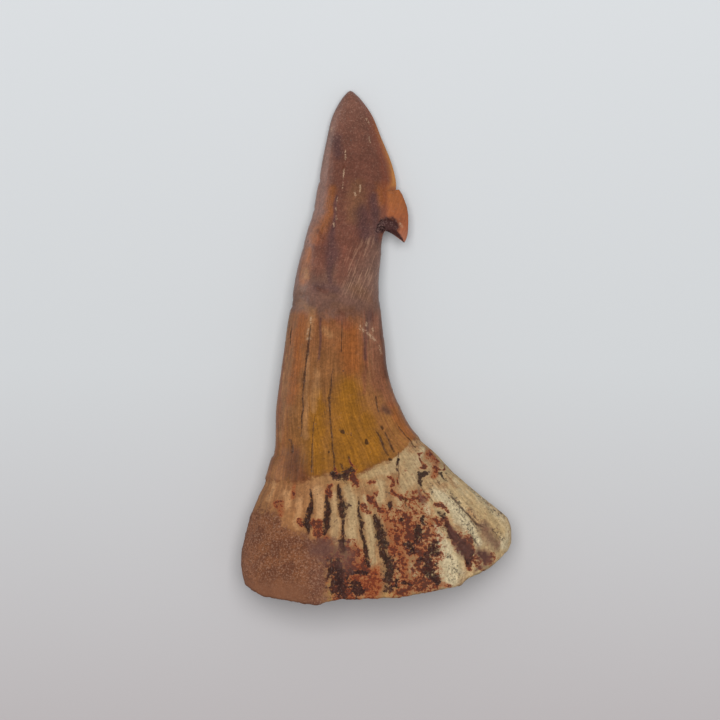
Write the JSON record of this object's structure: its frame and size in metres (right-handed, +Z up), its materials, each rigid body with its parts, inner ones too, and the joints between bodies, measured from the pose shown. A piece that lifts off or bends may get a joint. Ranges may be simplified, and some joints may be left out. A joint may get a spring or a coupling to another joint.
{
  "type": "fossil sawfish tooth",
  "caption": "Fossil rostral tooth of a giant sawfish: a long flattened crown with a barb on one edge and a flared, fluted root.",
  "frame": {"origin": "on the surface that the tooth lies on, under the middle of its box", "axes": "+Y along the tooth from the root to the tip, +Z up from the back that it lies on, +X towards the barbed edge"},
  "size_m": [0.0316, 0.06, 0.0103],
  "materials": {
    "fossil": "satin brown and ochre enamel on the crown, matt ivory and rust-stained bone with sandstone on the root"
  },
  "bodies": {
    "root": {"sawfish_tooth": "fossil"}
  },
  "joints": []
}
